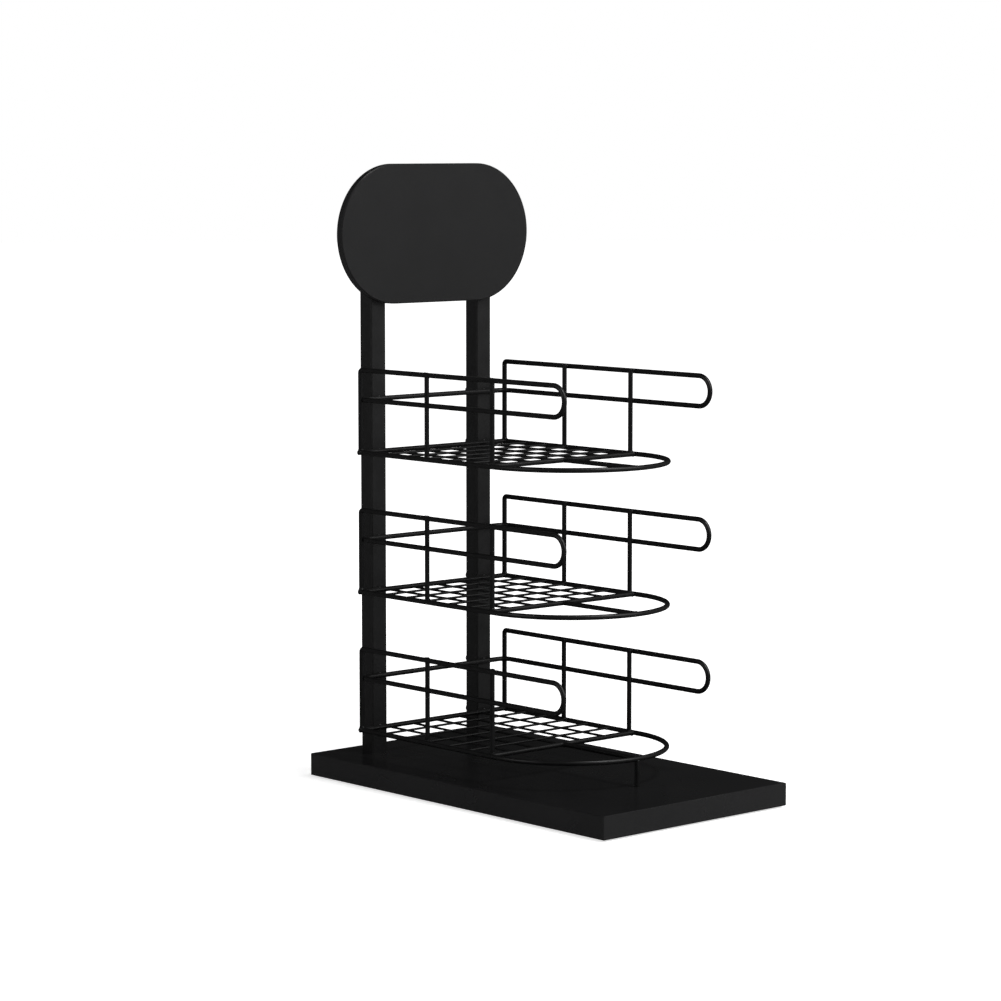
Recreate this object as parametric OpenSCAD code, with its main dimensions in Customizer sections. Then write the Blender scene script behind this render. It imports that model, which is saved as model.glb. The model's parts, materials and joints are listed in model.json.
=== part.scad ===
// Three-tier countertop rack for nail polish bottles: a board base, two square
// tube posts, three welded wire shelves with looped side rails and a blank
// header sign. X runs left to right, -Y is the front, Z is up, and the origin
// is under the middle of the base, on the surface that the rack stands on.

/* [Base] */
// Width of the base board, left to right
base_w = 196; // [190:1:230]
// Depth of the base board, front to back
base_d = 345; // [336:1:400]
// Thickness of the base board
base_t = 18; // [16:1:25]
// Height of the rubber pads under the board
pad_h = 1.5; // [1:0.5:4]

/* [Posts] */
// Outside width of the square tube
tube_w = 15; // [14:0.5:18]
// Wall thickness of the square tube
tube_wall = 1.2; // [1:0.1:1.5]
// Distance from the middle of the rack to the middle of a post
post_x = 56.6; // [52:0.1:62]
// Distance from the middle of the base back to the middle of the posts
post_y = 141.3; // [138:0.1:150]
// Length of each post
post_h = 455.5; // [450:0.5:465]

/* [Shelves] */
// Height of the lowest shelf floor above the base board
first_floor = 22; // [18:0.1:30]
// Distance from one shelf floor to the next
shelf_pitch = 112.7; // [100:0.1:116]
// Spacing of the wires in the mesh floor
mesh_pitch = 25; // [24:0.5:26]
// Diameter of the frame and rail wire
frame_wire = 4; // [3:0.1:4.5]
// Diameter of the upright wires
upright_wire = 3.8; // [3:0.1:4]
// Diameter of the mesh wire
mesh_wire = 1.9; // [1.5:0.1:2.4]
// Distance from the back wire to the centre of the round front
front_centre = 161.2; // [158:0.1:175]
// Spacing of the uprights along each side
upright_bay = 76.9; // [76:0.1:78]
// Height of the lower rail above the shelf floor
rail_low = 42.5; // [36:0.5:45]
// Height of the upper rail above the shelf floor
rail_high = 66.3; // [62:0.1:75]

/* [Header sign] */
// Width of the sign
sign_w = 199; // [180:0.1:220]
// Height of the sign, which is also the diameter of its round ends
sign_h = 112; // [100:0.1:120]
// Thickness of the sign
sign_t = 6; // [5.5:0.5:8]
// Height of the sign's centre above the base board
sign_rise = 421.6; // [415:0.1:425]

/* [Hidden] */
$fn = 48;
TIERS = ["bottom", "middle", "top"];
SHELF_PARTS = ["rail", "floor_frame", "back_bar", "cross_bar", "centre_spoke", "mesh_floor",
    "upright_left_mid", "upright_left_front", "upright_right_mid", "upright_right_front", "studs"];

// Levels and lines that several parts share
board_z = pad_h;
board_top = pad_h + base_t;
board_edge = 0.6;        // chamfer along the board's top edges
tube_corner = 1.5;       // outside corner radius of the tube
bore_corner = 0.4;       // inside corner radius of the tube
tube_bore = tube_w - 2 * tube_wall;
post_front = post_y - tube_w / 2;
post_rear = post_y + tube_w / 2;
sign_z = board_top + sign_rise;
sign_back = post_front - 0.05;
weld = 0.2;              // how far two welded wires sink into each other
mesh_weld = 0.4;         // the same, for the mesh wires against the frame round them
touch = 0.05;            // air between a shelf's back wires and the posts

// Wire shelf, measured from the centre of its floor frame wire
frame_r = frame_wire / 2;
upright_r = upright_wire / 2;
mesh_r = mesh_wire / 2;
mesh_cells = 6;
mesh_half = mesh_pitch * mesh_cells / 2;
frame_gap = mesh_r + frame_r - mesh_weld;
half_w = mesh_half + frame_gap;
back_y = post_front - touch - frame_r;
mesh_back = back_y - frame_gap;
mesh_front = mesh_back - mesh_pitch * mesh_cells;
cross_y = mesh_front - frame_gap;
round_y = back_y - front_centre;
front_y = round_y - half_w;
mesh_overhang = frame_gap - frame_r + mesh_weld;
mesh_step = 0.8;         // height between the two layers of mesh wire, welded deep into each other
mesh_high_z = mesh_step / 2;     // wires that run left to right
mesh_low_z = -mesh_step / 2;     // wires that run front to back, under the others
back_bar_overhang = 2.3;
foot_z = frame_r - weld;
mid_foot_z = mesh_high_z + mesh_r - weld;
upright_x = half_w - frame_r - upright_r + weld;
upright_top = rail_high + 1.2;   // the uprights end just above the upper rail's middle
loop_r = (rail_high - rail_low) / 2;
loop_y = front_y + loop_r;
corner_r = 2.4;          // tight bend from the upper rail into the back upright
back_bend_r = 8;         // bend from the lower rail into the back wire

// Fasteners
stud_d = 4;
stud_clear = 0.1;
stud_hole_r = stud_d / 2 + stud_clear;
washer_t = 0.8;
washer_r = 4.4;
nut_af = 7;
nut_h = 3.2;
nut_dome_r = 3.1;
stud_grip = 3.6;         // how far a stud reaches into its cap nut
bolt_d = 6;
bolt_head_af = 10;
bolt_head_h = 4;
bolt_key_af = 5;
bolt_key_h = 2.5;
bolt_sink_d = 16;
bolt_sink_h = 7;
bolt_washer_d = 12;
bolt_washer_t = 1.6;
bolt_reach = 13;
insert_h = 16;
sign_insert_d = 5.6;
sign_insert_h = 4;
sign_hole_h = 4.4;
sign_screw_dz = 20;
sign_edge = 0.8;         // chamfer round the sign's front
screw_head_d = 8;
screw_head_h = 2.4;
screw_rim_h = 1.2;
screw_key_af = 2.5;
screw_key_h = 1.6;
head_y = post_rear + washer_t;   // where the sign screws' heads and the cap nuts begin
leg_socket_h = 8;
leg_socket_r = upright_r + 0.2;
pad_r = 9;
pad_inset = 20;

// Plastic caps in the tops of the posts
cap_t = 1.4;
cap_crown = 0.6;
cap_plug_h = 9;
cap_plug_wall = 1.3;
cap_plug_w = tube_bore - 0.2;

function floor_z(tier) = board_top + first_floor + tier * shelf_pitch;

// Straight wires along each axis
module wire_x(x0, x1, y, z, r) translate([x0, y, z]) rotate([0, 90, 0]) cylinder(r = r, h = x1 - x0);
module wire_y(x, y0, y1, z, r) translate([x, y1, z]) rotate([90, 0, 0]) cylinder(r = r, h = y1 - y0);
module wire_z(x, y, z0, z1, r) translate([x, y, z0]) cylinder(r = r, h = z1 - z0);
// A bend in the XY plane that starts on +X and turns towards +Y
module bend(turn_r, wire_r, angle) rotate_extrude(angle = angle) translate([turn_r, 0]) circle(wire_r);

module both_sides() {
    children();
    mirror([1, 0, 0]) children();
}

module round_square(w, r) {
    square([w, w - 2 * r], center = true);
    square([w - 2 * r, w], center = true);
    for (x = [-1, 1], y = [-1, 1]) translate([x * (w / 2 - r), y * (w / 2 - r)]) circle(r);
}

// ---- Base ----
module post_bolt_places() both_sides() translate([post_x, post_y, 0]) children();

// Cross-section of the board across a width w, with both top edges eased
module board_profile(w) {
    half = w / 2;
    polygon([[-half, 0], [half, 0], [half, base_t - board_edge], [half - board_edge, base_t],
        [board_edge - half, base_t], [-half, base_t - board_edge]]);
}

module base_board() color([0.13, 0.13, 0.14]) difference() {
    intersection() {
        translate([0, base_d / 2, board_z]) rotate([90, 0, 0]) linear_extrude(base_d) board_profile(base_w);
        translate([-base_w / 2, 0, board_z]) rotate([90, 0, 90]) linear_extrude(base_w) board_profile(base_d);
    }
    post_bolt_places() {
        translate([0, 0, board_z - 1]) cylinder(d = bolt_sink_d, h = bolt_sink_h + 1);
        cylinder(d = bolt_d + 0.6, h = board_top + 1);
    }
    translate([0, front_y, board_top - leg_socket_h]) cylinder(r = leg_socket_r, h = leg_socket_h + 1);
}

module base_pads() color([0.05, 0.05, 0.05])
    for (x = [-1, 1], y = [-1, 1])
        translate([x * (base_w / 2 - pad_inset), y * (base_d / 2 - pad_inset), 0])
            cylinder(r = pad_r, h = pad_h);

module base_bolts() color([0.6, 0.6, 0.62]) post_bolt_places() {
    head_z = board_z + bolt_sink_h - bolt_washer_t - bolt_head_h;
    difference() {
        translate([0, 0, head_z]) cylinder(d = bolt_head_af / cos(30), h = bolt_head_h, $fn = 6);
        translate([0, 0, head_z - 1]) cylinder(d = bolt_key_af / cos(30), h = bolt_key_h + 1, $fn = 6);
    }
    translate([0, 0, head_z + bolt_head_h])
        cylinder(d = bolt_d, h = board_top + bolt_reach - head_z - bolt_head_h);
}

module base_washers() color([0.6, 0.6, 0.62]) post_bolt_places()
    translate([0, 0, board_z + bolt_sink_h - bolt_washer_t]) difference() {
        cylinder(d = bolt_washer_d, h = bolt_washer_t);
        translate([0, 0, -1]) cylinder(d = bolt_d + 0.4, h = bolt_washer_t + 2);
    }

// ---- Posts ----
module shelf_stud_places()
    for (tier = [0:2], z = [0, rail_low])
        translate([0, 0, floor_z(tier) + z]) children();

module sign_screw_places()
    for (z = [-sign_screw_dz, sign_screw_dz])
        translate([0, 0, sign_z + z]) children();

module post() color([0.12, 0.12, 0.13]) difference() {
    translate([0, post_y, board_top]) linear_extrude(post_h) round_square(tube_w, tube_corner);
    translate([0, post_y, board_top - 1]) linear_extrude(post_h + 2) round_square(tube_bore, bore_corner);
    shelf_stud_places() wire_y(0, post_front - 1, post_rear + 1, 0, stud_hole_r);
    sign_screw_places() wire_y(0, post_front - 1, post_rear + 1, 0, stud_hole_r);
}

module post_left() translate([-post_x, 0, 0]) post();
module post_right() translate([post_x, 0, 0]) post();

module post_cap() color([0.07, 0.07, 0.08]) translate([0, post_y, board_top + post_h]) {
    linear_extrude(cap_t) round_square(tube_w, tube_corner);
    translate([0, 0, cap_t]) linear_extrude(cap_crown)
        round_square(tube_w - 2 * cap_crown, tube_corner - cap_crown / 2);
    translate([0, 0, -cap_plug_h]) difference() {
        linear_extrude(cap_plug_h) round_square(cap_plug_w, bore_corner);
        translate([0, 0, -1]) linear_extrude(cap_plug_h)
            square(cap_plug_w - 2 * cap_plug_wall, center = true);
    }
}

module post_cap_left() translate([-post_x, 0, 0]) post_cap();
module post_cap_right() translate([post_x, 0, 0]) post_cap();

module post_insert() color([0.55, 0.55, 0.56]) translate([0, post_y, board_top + 0.5]) difference() {
    linear_extrude(insert_h) round_square(tube_bore - 0.1, bore_corner + 0.1);
    translate([0, 0, -1]) cylinder(r = bolt_d / 2 + 0.05, h = insert_h + 2);
}

module post_insert_left() translate([-post_x, 0, 0]) post_insert();
module post_insert_right() translate([post_x, 0, 0]) post_insert();

// ---- Header sign ----
module sign_board() color([0.15, 0.15, 0.16]) difference() {
    half_h = sign_h / 2;
    face_half_h = half_h - sign_edge;
    span = sign_w - sign_h;
    translate([0, sign_back, sign_z]) rotate([90, 0, 0]) {
        for (x = [-1, 1]) translate([x * span / 2, 0, 0])
            cylinder(r = half_h, h = sign_t - sign_edge);
        translate([-span / 2, -half_h, 0]) cube([span, sign_h, sign_t - sign_edge]);
        for (x = [-1, 1]) translate([x * span / 2, 0, sign_t - sign_edge])
            cylinder(r1 = half_h, r2 = face_half_h, h = sign_edge);
        translate([-span / 2, 0, sign_t - sign_edge]) rotate([90, 0, 90]) linear_extrude(span)
            polygon([[-half_h, 0], [half_h, 0], [face_half_h, sign_edge], [-face_half_h, sign_edge]]);
    }
    both_sides() translate([post_x, 0, 0]) sign_screw_places()
        wire_y(0, sign_back - sign_hole_h, sign_back + 1, 0, sign_insert_d / 2 + 0.05);
}

module sign_inserts() color([0.72, 0.6, 0.3]) both_sides() translate([post_x, 0, 0]) sign_screw_places()
    difference() {
        wire_y(0, sign_back - sign_insert_h - 0.2, sign_back - 0.2, 0, sign_insert_d / 2);
        wire_y(0, sign_back - sign_insert_h - 1, sign_back + 1, 0, stud_d / 2 + 0.05);
    }

module sign_screws() color([0.12, 0.12, 0.13]) both_sides() translate([post_x, 0, 0]) sign_screw_places()
    difference() {
        union() {
            wire_y(0, sign_back - sign_insert_h, head_y, 0, stud_d / 2);
            wire_y(0, head_y, head_y + screw_rim_h, 0, screw_head_d / 2);
            translate([0, head_y + screw_rim_h, 0]) rotate([-90, 0, 0])
                cylinder(d1 = screw_head_d, d2 = screw_head_d - 2.4, h = screw_head_h - screw_rim_h);
        }
        translate([0, head_y + screw_head_h + 1, 0]) rotate([90, 0, 0])
            cylinder(d = screw_key_af / cos(30), h = screw_key_h + 1, $fn = 6);
    }

module post_washer() difference() {
    wire_y(0, post_rear, post_rear + washer_t, 0, washer_r);
    wire_y(0, post_rear - 1, post_rear + washer_t + 1, 0, stud_hole_r + 0.1);
}

module sign_washers() color([0.12, 0.12, 0.13])
    both_sides() translate([post_x, 0, 0]) sign_screw_places() post_washer();

// ---- Wire shelf, drawn with its floor frame at z = 0 ----
module rail_side() {
    wire_z(half_w, back_y, foot_z, rail_high - corner_r, frame_r);
    translate([half_w, back_y - corner_r, rail_high - corner_r]) rotate([90, 0, 90])
        bend(corner_r, frame_r, 90);
    wire_y(half_w, loop_y, back_y - corner_r, rail_high, frame_r);
    translate([half_w, loop_y, rail_low + loop_r]) rotate([90, 0, 90]) rotate([0, 0, 90])
        bend(loop_r, frame_r, 180);
    wire_y(half_w, loop_y, back_y - back_bend_r, rail_low, frame_r);
    translate([half_w - back_bend_r, back_y - back_bend_r, rail_low]) bend(back_bend_r, frame_r, 90);
}

module rail() color([0.1, 0.1, 0.11]) {
    both_sides() rail_side();
    wire_x(back_bend_r - half_w, half_w - back_bend_r, back_y, rail_low, frame_r);
}

module floor_frame() color([0.1, 0.1, 0.11]) {
    both_sides() wire_y(half_w, round_y, back_y - foot_z, 0, frame_r);
    translate([0, round_y, 0]) rotate([0, 0, 180]) bend(half_w, frame_r, 180);
}

module back_bar() color([0.1, 0.1, 0.11])
    wire_x(-half_w - back_bar_overhang, half_w + back_bar_overhang, back_y, 0, frame_r);

module cross_bar() color([0.1, 0.1, 0.11])
    wire_x(foot_z - half_w, half_w - foot_z, cross_y, 0, frame_r);

module centre_spoke() color([0.1, 0.1, 0.11])
    wire_y(0, front_y + foot_z, cross_y - foot_z, 0, upright_r);

module mesh_floor() color([0.1, 0.1, 0.11])
    for (i = [0:mesh_cells]) {
        wire_y(mesh_pitch * i - mesh_half, mesh_front - mesh_overhang, mesh_back + mesh_overhang,
            mesh_low_z, mesh_r);
        wire_x(-mesh_half - mesh_overhang, mesh_half + mesh_overhang, mesh_back - mesh_pitch * i,
            mesh_high_z, mesh_r);
    }

// Uprights stand inside the side rails: side is -1 or 1, bay counts from the back.
// The middle ones stand on the mesh and the front ones on the cross bar.
module upright(side, bay) color([0.1, 0.1, 0.11]) {
    bottom = bay == 1 ? mid_foot_z : foot_z;
    wire_z(side * upright_x, back_y - bay * upright_bay, bottom, upright_top, upright_r);
}

module studs() color([0.6, 0.6, 0.62])
    both_sides() for (z = [0, rail_low])
        wire_y(post_x, back_y + foot_z, post_rear + washer_t + stud_grip, z, stud_d / 2);

module front_leg() color([0.1, 0.1, 0.11])
    wire_z(0, front_y, board_top - leg_socket_h + 0.2, floor_z(0) - foot_z, upright_r);

// Cap nuts and washers behind the posts, on the shelf studs
module cap_nut() translate([0, head_y, 0]) rotate([-90, 0, 0]) difference() {
    union() {
        cylinder(d = nut_af / cos(30), h = nut_h, $fn = 6);
        intersection() {
            translate([0, 0, nut_h]) sphere(r = nut_dome_r);
            translate([-nut_af, -nut_af, nut_h - 1]) cube(2 * nut_af);
        }
    }
    translate([0, 0, -1]) cylinder(r = stud_d / 2 + 0.05, h = stud_grip + 1.4);
}

module shelf_nuts() color([0.6, 0.6, 0.62])
    both_sides() translate([post_x, 0, 0]) shelf_stud_places() cap_nut();

module shelf_washers() color([0.6, 0.6, 0.62])
    both_sides() translate([post_x, 0, 0]) shelf_stud_places() post_washer();

module at_tier(tier) translate([0, 0, floor_z(tier)]) children();

base_board();
base_pads();
post_left();
post_right();
post_cap_left();
post_cap_right();
post_insert_left();
post_insert_right();
base_bolts();
base_washers();
front_leg();
sign_board();
sign_inserts();
sign_screws();
sign_washers();
shelf_nuts();
shelf_washers();
for (i = [0:2]) {
    at_tier(i) rail();
    at_tier(i) floor_frame();
    at_tier(i) back_bar();
    at_tier(i) cross_bar();
    at_tier(i) centre_spoke();
    at_tier(i) mesh_floor();
    at_tier(i) upright(-1, 1);
    at_tier(i) upright(-1, 2);
    at_tier(i) upright(1, 1);
    at_tier(i) upright(1, 2);
    at_tier(i) studs();
}
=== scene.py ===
import json
import math
import random

import bmesh
import bpy
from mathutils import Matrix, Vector


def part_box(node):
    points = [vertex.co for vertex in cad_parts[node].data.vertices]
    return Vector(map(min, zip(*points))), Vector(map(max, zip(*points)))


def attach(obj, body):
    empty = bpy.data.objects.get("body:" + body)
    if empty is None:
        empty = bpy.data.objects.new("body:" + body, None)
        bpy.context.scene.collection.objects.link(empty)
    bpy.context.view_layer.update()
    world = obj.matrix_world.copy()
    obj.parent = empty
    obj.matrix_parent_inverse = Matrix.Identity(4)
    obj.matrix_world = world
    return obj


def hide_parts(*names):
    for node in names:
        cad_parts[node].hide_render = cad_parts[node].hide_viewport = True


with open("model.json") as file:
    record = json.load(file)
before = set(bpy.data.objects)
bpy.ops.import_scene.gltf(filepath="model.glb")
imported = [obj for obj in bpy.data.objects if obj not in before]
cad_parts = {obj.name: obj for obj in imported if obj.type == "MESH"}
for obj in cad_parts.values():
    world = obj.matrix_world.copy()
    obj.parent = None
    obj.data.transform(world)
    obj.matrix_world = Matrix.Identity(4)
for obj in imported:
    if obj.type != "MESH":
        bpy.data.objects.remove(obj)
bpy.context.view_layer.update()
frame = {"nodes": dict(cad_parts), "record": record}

MM = 0.001
BODY = "root"
TIERS = ("bottom", "middle", "top")
X_AXIS, Y_AXIS, Z_AXIS = Vector((1, 0, 0)), Vector((0, 1, 0)), Vector((0, 0, 1))
random.seed(7)

# ---------------------------------------------------------------- camera and light
# Azimuths and elevations are in degrees and say where a camera or light stands, seen from the
# rack: azimuth 0 is in front of it, -90 at its left and 90 at its right.
CAMERA_AZIMUTH = -41.97
CAMERA_ELEVATION = 6.22
CAMERA_DISTANCE = 2.665
CAMERA_LENS = 119.79
CAMERA_AIM = Vector((-0.0005, 0.0500, 0.2292))
LIGHT_AIM = Vector((0, 0, 0.25))

# The surroundings' light level by how far a direction is turned towards a glow: 0 is straight
# away from it and 1 is straight at it.
FRONT_GLOW = ((0, 0.006), (0.4, 0.009), (0.6, 0.05), (1, 0.42))
REAR_GLOW = ((0, 0), (0.7, 0), (0.9, 0.09), (1, 0.1))


def direction(azimuth, elevation):
    """Unit vector from the rack towards a camera or a light at this azimuth and elevation."""
    a, e = math.radians(azimuth), math.radians(elevation)
    return Vector((math.sin(a) * math.cos(e), -math.cos(a) * math.cos(e), math.sin(e)))


def look_back(obj, towards):
    """Turns a camera or light so that it looks against the vector towards."""
    obj.rotation_mode = "QUATERNION"
    obj.rotation_quaternion = (-towards).to_track_quat("-Z", "Y")


def add_camera():
    data = bpy.data.cameras.new("camera")
    data.lens = CAMERA_LENS
    data.sensor_width = 36
    data.clip_start, data.clip_end = 0.05, 60
    camera = bpy.data.objects.new("camera", data)
    back = direction(CAMERA_AZIMUTH, CAMERA_ELEVATION)
    camera.location = CAMERA_AIM + back * CAMERA_DISTANCE
    look_back(camera, back)
    bpy.context.scene.collection.objects.link(camera)
    bpy.context.scene.camera = camera


def softbox(name, azimuth, elevation, distance, size, power):
    data = bpy.data.lights.new(name, "AREA")
    data.shape = "RECTANGLE"
    data.size, data.size_y = size
    data.energy = power
    light = bpy.data.objects.new(name, data)
    back = direction(azimuth, elevation)
    light.location = LIGHT_AIM + back * distance
    look_back(light, back)
    bpy.context.scene.collection.objects.link(light)


def nodes_of(owner):
    """Empties the node tree of a material or world and returns it."""
    owner.use_nodes = True
    tree = owner.node_tree
    tree.nodes.clear()
    return tree


def glow_towards(tree, coords, azimuth, elevation, stops):
    """Background shader that is brightest towards one direction: stops are (place, level)."""
    facing = tree.nodes.new("ShaderNodeVectorMath")
    facing.operation = "DOT_PRODUCT"
    facing.inputs[1].default_value = direction(azimuth, elevation)
    tree.links.new(coords, facing.inputs[0])
    place = tree.nodes.new("ShaderNodeMapRange")
    place.inputs["From Min"].default_value = -1
    place.inputs["From Max"].default_value = 1
    tree.links.new(facing.outputs["Value"], place.inputs["Value"])
    ramp = tree.nodes.new("ShaderNodeValToRGB")
    ramp.color_ramp.interpolation = "B_SPLINE"
    elements = ramp.color_ramp.elements
    while len(elements) < len(stops):
        elements.new(0.5)
    for element, (at, level) in zip(elements, stops):
        element.position = at
        element.color = (level, level, level, 1)
    tree.links.new(place.outputs["Result"], ramp.inputs["Fac"])
    glow = tree.nodes.new("ShaderNodeBackground")
    tree.links.new(ramp.outputs["Color"], glow.inputs["Color"])
    return glow.outputs[0]


def add_world():
    """White behind the camera's view; for everything else a studio lit from the front right and rear left."""
    world = bpy.data.worlds.new("studio")
    bpy.context.scene.world = world
    tree = nodes_of(world)
    new, link = tree.nodes.new, tree.links.new
    coords = new("ShaderNodeTexCoord").outputs["Generated"]
    front = glow_towards(tree, coords, 22, 10, FRONT_GLOW)
    rear = glow_towards(tree, coords, -140, -5, REAR_GLOW)
    both = new("ShaderNodeAddShader")
    link(front, both.inputs[0])
    link(rear, both.inputs[1])
    white = new("ShaderNodeBackground")
    white.inputs["Color"].default_value = (1, 1, 1, 1)
    path = new("ShaderNodeLightPath")
    mix = new("ShaderNodeMixShader")
    link(path.outputs["Is Camera Ray"], mix.inputs["Fac"])
    link(both.outputs[0], mix.inputs[1])
    link(white.outputs[0], mix.inputs[2])
    out = new("ShaderNodeOutputWorld")
    link(mix.outputs[0], out.inputs["Surface"])


# ---------------------------------------------------------------- material parts
def neutral(level):
    """Grey that leans slightly to blue, as black coatings do."""
    return (level, level, level * 1.04)


def principled(name, color, roughness, **inputs):
    """New material with one Principled shader, and the tree and shader to build on."""
    material = bpy.data.materials.new(name)
    tree = nodes_of(material)
    shader = tree.nodes.new("ShaderNodeBsdfPrincipled")
    shader.inputs["Base Color"].default_value = (*color, 1)
    shader.inputs["Roughness"].default_value = roughness
    for key, value in inputs.items():
        shader.inputs[key].default_value = value
    out = tree.nodes.new("ShaderNodeOutputMaterial")
    tree.links.new(shader.outputs[0], out.inputs["Surface"])
    return material, tree, shader


def position(tree):
    return tree.nodes.new("ShaderNodeTexCoord").outputs["Object"]


def stretched(tree, vector, scale):
    mapping = tree.nodes.new("ShaderNodeMapping")
    mapping.inputs["Scale"].default_value = scale
    tree.links.new(vector, mapping.inputs["Vector"])
    return mapping.outputs["Vector"]


def noise(tree, vector, scale, detail=2.0):
    texture = tree.nodes.new("ShaderNodeTexNoise")
    texture.inputs["Scale"].default_value = scale
    texture.inputs["Detail"].default_value = detail
    tree.links.new(vector, texture.inputs["Vector"])
    return texture.outputs["Fac"]


def spread(tree, value, low, high, old_low=0.3, old_high=0.7):
    """Maps old_low..old_high, which is most of a noise's range, to low..high."""
    node = tree.nodes.new("ShaderNodeMapRange")
    node.inputs["From Min"].default_value = old_low
    node.inputs["From Max"].default_value = old_high
    node.inputs["To Min"].default_value = low
    node.inputs["To Max"].default_value = high
    tree.links.new(value, node.inputs["Value"])
    return node.outputs["Result"]


def grey(tree, value, low, high):
    """Colour that goes from grey level low to grey level high."""
    ramp = tree.nodes.new("ShaderNodeValToRGB")
    for element, place, level in zip(ramp.color_ramp.elements, (0.35, 0.65), (low, high)):
        element.position = place
        element.color = (*neutral(level), 1)
    tree.links.new(value, ramp.inputs["Fac"])
    return ramp.outputs["Color"]


def bump(tree, shader, height, strength, distance):
    node = tree.nodes.new("ShaderNodeBump")
    node.inputs["Strength"].default_value = strength
    node.inputs["Distance"].default_value = distance
    tree.links.new(height, node.inputs["Height"])
    tree.links.new(node.outputs["Normal"], shader.inputs["Normal"])


# ---------------------------------------------------------------- materials
def powder_coat(name, low, high, rough, peel, specular):
    """Satin powder coat: orange peel in the surface and faint clouding in the gloss."""
    material, tree, shader = principled(name, neutral((low + high) / 2), rough)
    shader.inputs["Specular IOR Level"].default_value = specular
    at = position(tree)
    tree.links.new(grey(tree, noise(tree, at, 90), low, high), shader.inputs["Base Color"])
    tree.links.new(spread(tree, noise(tree, at, 45), rough - 0.05, rough + 0.06), shader.inputs["Roughness"])
    bump(tree, shader, noise(tree, at, peel, 3), 0.25, 0.00012)
    return material


def lacquered_board():
    """Semi-gloss black lacquer: faint clouding, uneven gloss and long fine roller marks."""
    material, tree, shader = principled("base_lacquer", neutral(0.008), 0.25)
    shader.inputs["Specular IOR Level"].default_value = 0.3
    at = position(tree)
    tree.links.new(grey(tree, noise(tree, at, 14, 4), 0.0074, 0.0086), shader.inputs["Base Color"])
    tree.links.new(spread(tree, noise(tree, at, 22, 5), 0.21, 0.29), shader.inputs["Roughness"])
    bump(tree, shader, noise(tree, stretched(tree, at, (1, 0.35, 1)), 420, 2), 0.12, 0.0001)
    return material


def satin_sheet():
    """Satin black sheet for the header, with a fine even tooth."""
    material, tree, shader = principled("sign_plastic", neutral(0.0066), 0.3)
    shader.inputs["Specular IOR Level"].default_value = 0.37
    at = position(tree)
    tree.links.new(grey(tree, noise(tree, at, 10, 3), 0.0063, 0.0069), shader.inputs["Base Color"])
    tree.links.new(spread(tree, noise(tree, at, 30, 4), 0.28, 0.32), shader.inputs["Roughness"])
    bump(tree, shader, noise(tree, at, 2600, 2), 0.1, 0.00005)
    return material


def moulded(name, level, rough, grain):
    """Matt moulded or blackened surface with an even grain."""
    material, tree, shader = principled(name, neutral(level), rough)
    at = position(tree)
    tree.links.new(grey(tree, noise(tree, at, 200), level * 0.85, level * 1.15), shader.inputs["Base Color"])
    bump(tree, shader, noise(tree, at, grain, 2), 0.3, 0.00008)
    return material


def plated(name, color, rough):
    """Bright turned metal: clouded gloss over fine turning marks."""
    material, tree, shader = principled(name, color, rough, Metallic=1.0)
    at = position(tree)
    clouds = spread(tree, noise(tree, at, 300, 4), rough - 0.08, rough + 0.12)
    tree.links.new(clouds, shader.inputs["Roughness"])
    bump(tree, shader, noise(tree, stretched(tree, at, (1, 8, 1)), 900, 2), 0.15, 0.00005)
    return material


MATERIALS = {
    "base_lacquer": lacquered_board(),
    "pad_rubber": moulded("pad_rubber", level=0.02, rough=0.8, grain=1500),
    "post_coat": powder_coat("post_coat", low=0.0048, high=0.0058, rough=0.42, peel=750, specular=0.3),
    "wire_coat": powder_coat("wire_coat", low=0.003, high=0.004, rough=0.34, peel=1100, specular=0.23),
    "cap_plastic": moulded("cap_plastic", level=0.015, rough=0.55, grain=1400),
    "sign_plastic": satin_sheet(),
    "bare_steel": plated("bare_steel", (0.58, 0.58, 0.6), 0.3),
    "insert_brass": plated("insert_brass", (0.72, 0.55, 0.28), 0.3),
    "black_screw": moulded("black_screw", level=0.02, rough=0.45, grain=1200),
}


def paint(obj, slot):
    obj.data.materials.clear()
    obj.data.materials.append(MATERIALS[slot])


def paint_cad():
    for part in frame["record"]["subparts"]:
        paint(frame["nodes"][part["node"]], part["material_slot"])


def add_piece(name, bm, slot):
    mesh = bpy.data.meshes.new(name)
    bmesh.ops.recalc_face_normals(bm, faces=bm.faces)
    bm.to_mesh(mesh)
    bm.free()
    for face in mesh.polygons:
        face.use_smooth = True
    obj = bpy.data.objects.new(name, mesh)
    bpy.context.scene.collection.objects.link(obj)
    paint(obj, slot)
    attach(obj, BODY)
    return obj


# ---------------------------------------------------------------- weld beads
MESH_PITCH = 25 * MM
MESH_WIRES = 7
MESH_STEP = 0.8 * MM        # height between the two layers of mesh wire
LOOP_RADIUS = 11.9 * MM     # half the distance between the two rails
WOBBLE = 0.10               # how uneven a bead is

# Half-width and half-height of each sort of bead, as multiples of its wire's radius
MESH_CROSSING = (1.55, 0.6)
MESH_END = (1.35, 0.7)
FOOT = (1.17, 0.8)
CUT_BAR = (0.93, 0.3)
CUT_UPRIGHT = (0.96, 0.3)
FLOOR_SIDE = (0.9, 0.46)
RAIL_SIDE = (1.0, 0.46)
BAR_END_DEPTH = 0.05        # how far back from the cut a bar's rounded end lies, in radii
FOOT_RAISE = 0.1            # how far above an upright's end its foot weld lies, in radii


def middle(node):
    low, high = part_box(node)
    return (low + high) / 2


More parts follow.
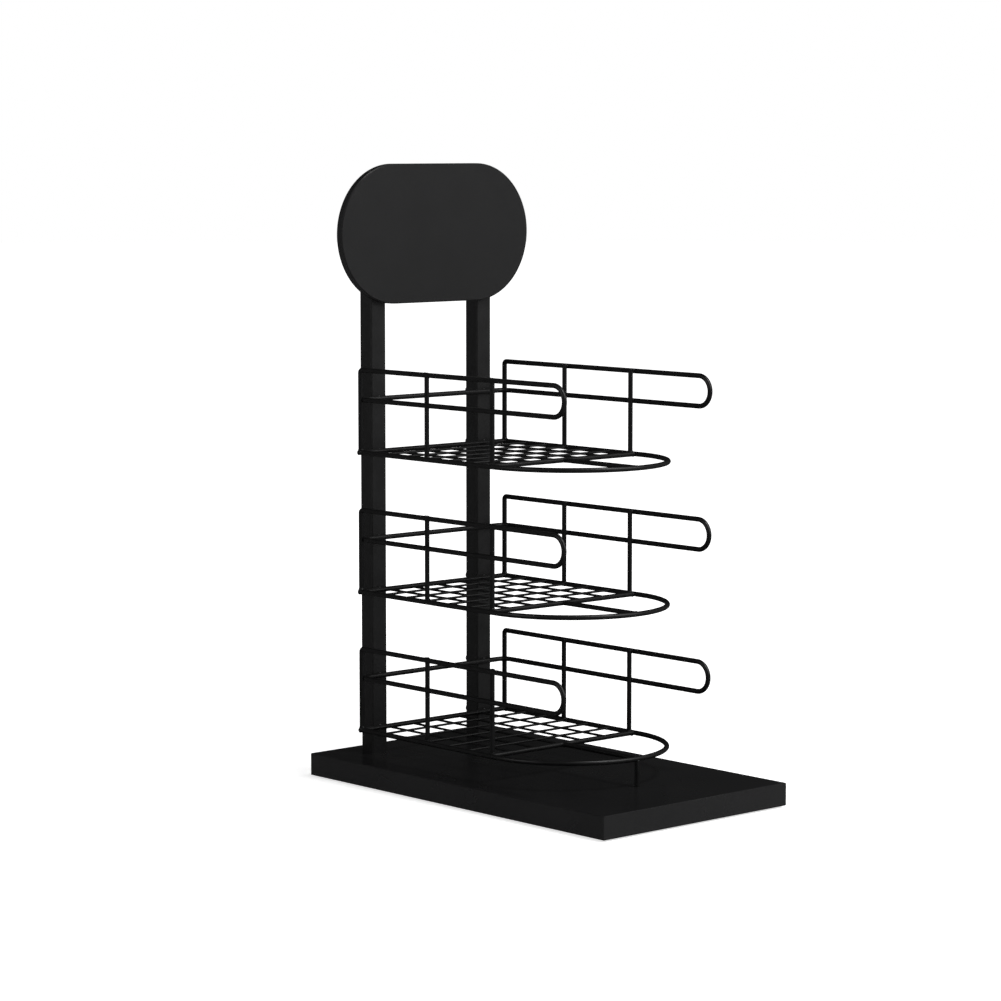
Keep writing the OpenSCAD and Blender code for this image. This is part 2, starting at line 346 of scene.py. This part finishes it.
def bead(bm, centre, axis, radius, shape, rings=3):
    """One blob of weld: a sphere flattened along axis and left a little uneven."""
    across, along = radius * shape[0], radius * shape[1]
    turn = axis.to_track_quat("Z", "Y").to_matrix()
    made = bmesh.ops.create_icosphere(bm, subdivisions=rings, radius=1.0)["verts"]
    lean = [random.uniform(-WOBBLE, WOBBLE) for _ in range(4)]
    for vert in made:
        x, y, z = vert.co
        swell = 1 + lean[0] * x + lean[1] * y + lean[2] * x * y + lean[3] * (x * x - y * y)
        vert.co = centre + turn @ Vector((x * across * swell, y * across * swell, z * along))


def side_weld(bm, one, other, radius_one, radius_other, shape):
    """Weld where two wires touch side by side: one and other are the nearest points of their centre lines."""
    axis = (other - one).normalized()
    gap = (other - one).length
    touch = one + axis * (radius_one + (gap - radius_one - radius_other) / 2)
    bead(bm, touch, axis, min(radius_one, radius_other), shape)


def mesh_welds(bm, tier, frame_r, floor_z, side_x, back_y, cross_y):
    """Welds at every crossing of the mesh and where its wires' ends meet the frame round it."""
    low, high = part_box(f"{tier}_mesh_floor")
    mesh_y = (low.y + high.y) / 2
    mesh_r = (high.z - low.z - MESH_STEP) / 2
    top_level, under_level = high.z - mesh_r, low.z + mesh_r
    steps = [(i - (MESH_WIRES - 1) / 2) * MESH_PITCH for i in range(MESH_WIRES)]
    for step in steps:
        for other in steps:
            bead(bm, Vector((step, mesh_y + other, floor_z)), Z_AXIS, mesh_r, MESH_CROSSING, 2)
        for y in (back_y - frame_r, cross_y + frame_r):
            bead(bm, Vector((step, y, under_level)), Y_AXIS, mesh_r, MESH_END, 2)
        for x in (-side_x + frame_r, side_x - frame_r):
            bead(bm, Vector((x, mesh_y + step, top_level)), X_AXIS, mesh_r, MESH_END, 2)


def upright_welds(bm, node, frame_r, floor_z, edge_x, rail_levels):
    """Welds at an upright's foot, along the frame and both rails, and its rounded top end."""
    low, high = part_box(node)
    radius = (high.x - low.x) / 2
    x, y = (low.x + high.x) / 2, (low.y + high.y) / 2
    bead(bm, Vector((x, y, low.z + FOOT_RAISE * radius)), Z_AXIS, radius, FOOT)
    bead(bm, Vector((x, y, high.z)), Z_AXIS, radius, CUT_UPRIGHT)
    for level, shape in [(floor_z, FLOOR_SIDE)] + [(rail, RAIL_SIDE) for rail in rail_levels]:
        side_weld(bm, Vector((x, y, level)), Vector((edge_x, y, level)), radius, frame_r, shape)


def shelf_welds(tier):
    bm = bmesh.new()
    low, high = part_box(f"{tier}_floor_frame")
    r = (high.z - low.z) / 2
    z = (low.z + high.z) / 2
    side_x = high.x - r
    front_y = low.y + r
    back_y = middle(f"{tier}_back_bar").y
    bar_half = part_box(f"{tier}_back_bar")[1].x
    cross_y = middle(f"{tier}_cross_bar").y
    rail_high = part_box(f"{tier}_rail")[1].z - r
    rail_low = rail_high - 2 * LOOP_RADIUS
    spoke_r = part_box(f"{tier}_centre_spoke")[1].x
    mesh_welds(bm, tier, r, z, side_x, back_y, cross_y)
    for side, side_name in ((-1, "left"), (1, "right")):
        edge_x = side * side_x
        bead(bm, Vector((side * (side_x - r), cross_y, z)), X_AXIS, r, FOOT)
        bead(bm, Vector((edge_x, back_y - r, z)), Y_AXIS, r, FOOT)
        bead(bm, Vector((edge_x, back_y, z + r)), Z_AXIS, r, FOOT)
        bead(bm, Vector((side * (bar_half - BAR_END_DEPTH * r), back_y, z)), X_AXIS, r, CUT_BAR)
        for bay in ("mid", "front"):
            upright_welds(bm, f"{tier}_upright_{side_name}_{bay}", r, z, edge_x, (rail_low, rail_high))
    for y in (cross_y - r, front_y + r):
        bead(bm, Vector((0, y, z)), Y_AXIS, spoke_r, FOOT)
    if tier == TIERS[0]:
        leg_low, leg_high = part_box("front_leg")
        bead(bm, Vector((0, front_y, leg_high.z)), Z_AXIS, (leg_high.x - leg_low.x) / 2, FOOT)
    add_piece(f"{tier}_shelf_welds", bm, "wire_coat")


# ---------------------------------------------------------------- rubber pads
PAD_RADIUS = 9 * MM
PAD_EDGE = 0.45 * MM        # radius of the rounded edge underneath
PAD_DISH = 0.25 * MM        # depth of the dish underneath
PAD_STEPS = 48
DISH_FLAT, DISH_RIM = 0.62, 0.72    # where the dish's slope begins and ends, in pad radii


def lathe(bm, centre, profile, steps):
    """Turned shape: profile is a list of (radius, height) from the axis out and back to it."""
    rings = []
    for radius, height in profile:
        if radius == 0:
            rings.append([bm.verts.new(centre + Z_AXIS * height)])
            continue
        ring = []
        for i in range(steps):
            a = 2 * math.pi * i / steps
            ring.append(bm.verts.new(centre + Vector((radius * math.cos(a), radius * math.sin(a), height))))
        rings.append(ring)
    for one, other in zip(rings, rings[1:]):
        for i in range(steps):
            j = (i + 1) % steps
            corners = [one[i % len(one)], one[j % len(one)], other[j % len(other)], other[i % len(other)]]
            corners = list(dict.fromkeys(corners))
            if len(corners) > 2:
                bm.faces.new(corners)


def pads():
    """Moulded rubber pads: a rounded rim and a shallow dish underneath, in place of the plain ones."""
    low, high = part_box("base_pads")
    height = high.z - low.z
    turns = [math.pi / 2 * i / 5 for i in range(6)]
    rim = [(PAD_RADIUS - PAD_EDGE + PAD_EDGE * math.sin(a), PAD_EDGE - PAD_EDGE * math.cos(a)) for a in turns]
    dish = [(0, PAD_DISH), (PAD_RADIUS * DISH_FLAT, PAD_DISH), (PAD_RADIUS * DISH_RIM, 0)]
    profile = dish + rim + [(PAD_RADIUS, height), (0, height)]
    bm = bmesh.new()
    for x in (low.x + PAD_RADIUS, high.x - PAD_RADIUS):
        for y in (low.y + PAD_RADIUS, high.y - PAD_RADIUS):
            lathe(bm, Vector((x, y, 0)), profile, PAD_STEPS)
    piece = add_piece("rubber_pads", bm, "pad_rubber")
    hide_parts("base_pads")


# ---------------------------------------------------------------- stage
FLOOR_RADIUS = 14
GLOW_START, GLOW_END = 0.35, 1.3    # distances from the rack between which the floor's painted shade fades into its full glow
GLOW_NEAR_PAINTED_SHADE, GLOW_FAR = 0.70, 1.1     # its glow at those distances: the weaker glow near the rack is painted shade


def add_floor():
    """White floor that glows white further out and glows less near the rack, a painted shade round the rack
    on top of the soft shadow it takes there.
    """
    material, tree, shader = principled("floor_paper", (0.86, 0.86, 0.86), 0.9)
    shader.inputs["Specular IOR Level"].default_value = 0.0
    at = position(tree)
    distance = tree.nodes.new("ShaderNodeVectorMath")
    distance.operation = "LENGTH"
    tree.links.new(at, distance.inputs[0])
    shader.inputs["Emission Color"].default_value = (1, 1, 1, 1)
    # painted shade: the floor's glow is weaker near the rack, darkening the floor round it
    glow = spread(tree, distance.outputs["Value"], GLOW_NEAR_PAINTED_SHADE, GLOW_FAR, GLOW_START, GLOW_END)
    tree.links.new(glow, shader.inputs["Emission Strength"])
    bpy.ops.mesh.primitive_circle_add(vertices=96, radius=FLOOR_RADIUS, fill_type="NGON")
    floor = bpy.context.object
    floor.name = "floor"
    floor.data.materials.append(material)
    floor.visible_glossy = False


bpy.context.scene.view_settings.view_transform = "Standard"
add_camera()
add_world()
softbox("key", azimuth=20, elevation=35, distance=2.6, size=(2.2, 1.6), power=42)
softbox("side", azimuth=-100, elevation=22, distance=2.6, size=(1.6, 1.6), power=15)
softbox("top", azimuth=20, elevation=62, distance=2.2, size=(0.45, 0.45), power=22)
paint_cad()
for tier in TIERS:
    shelf_welds(tier)
pads()
add_floor()
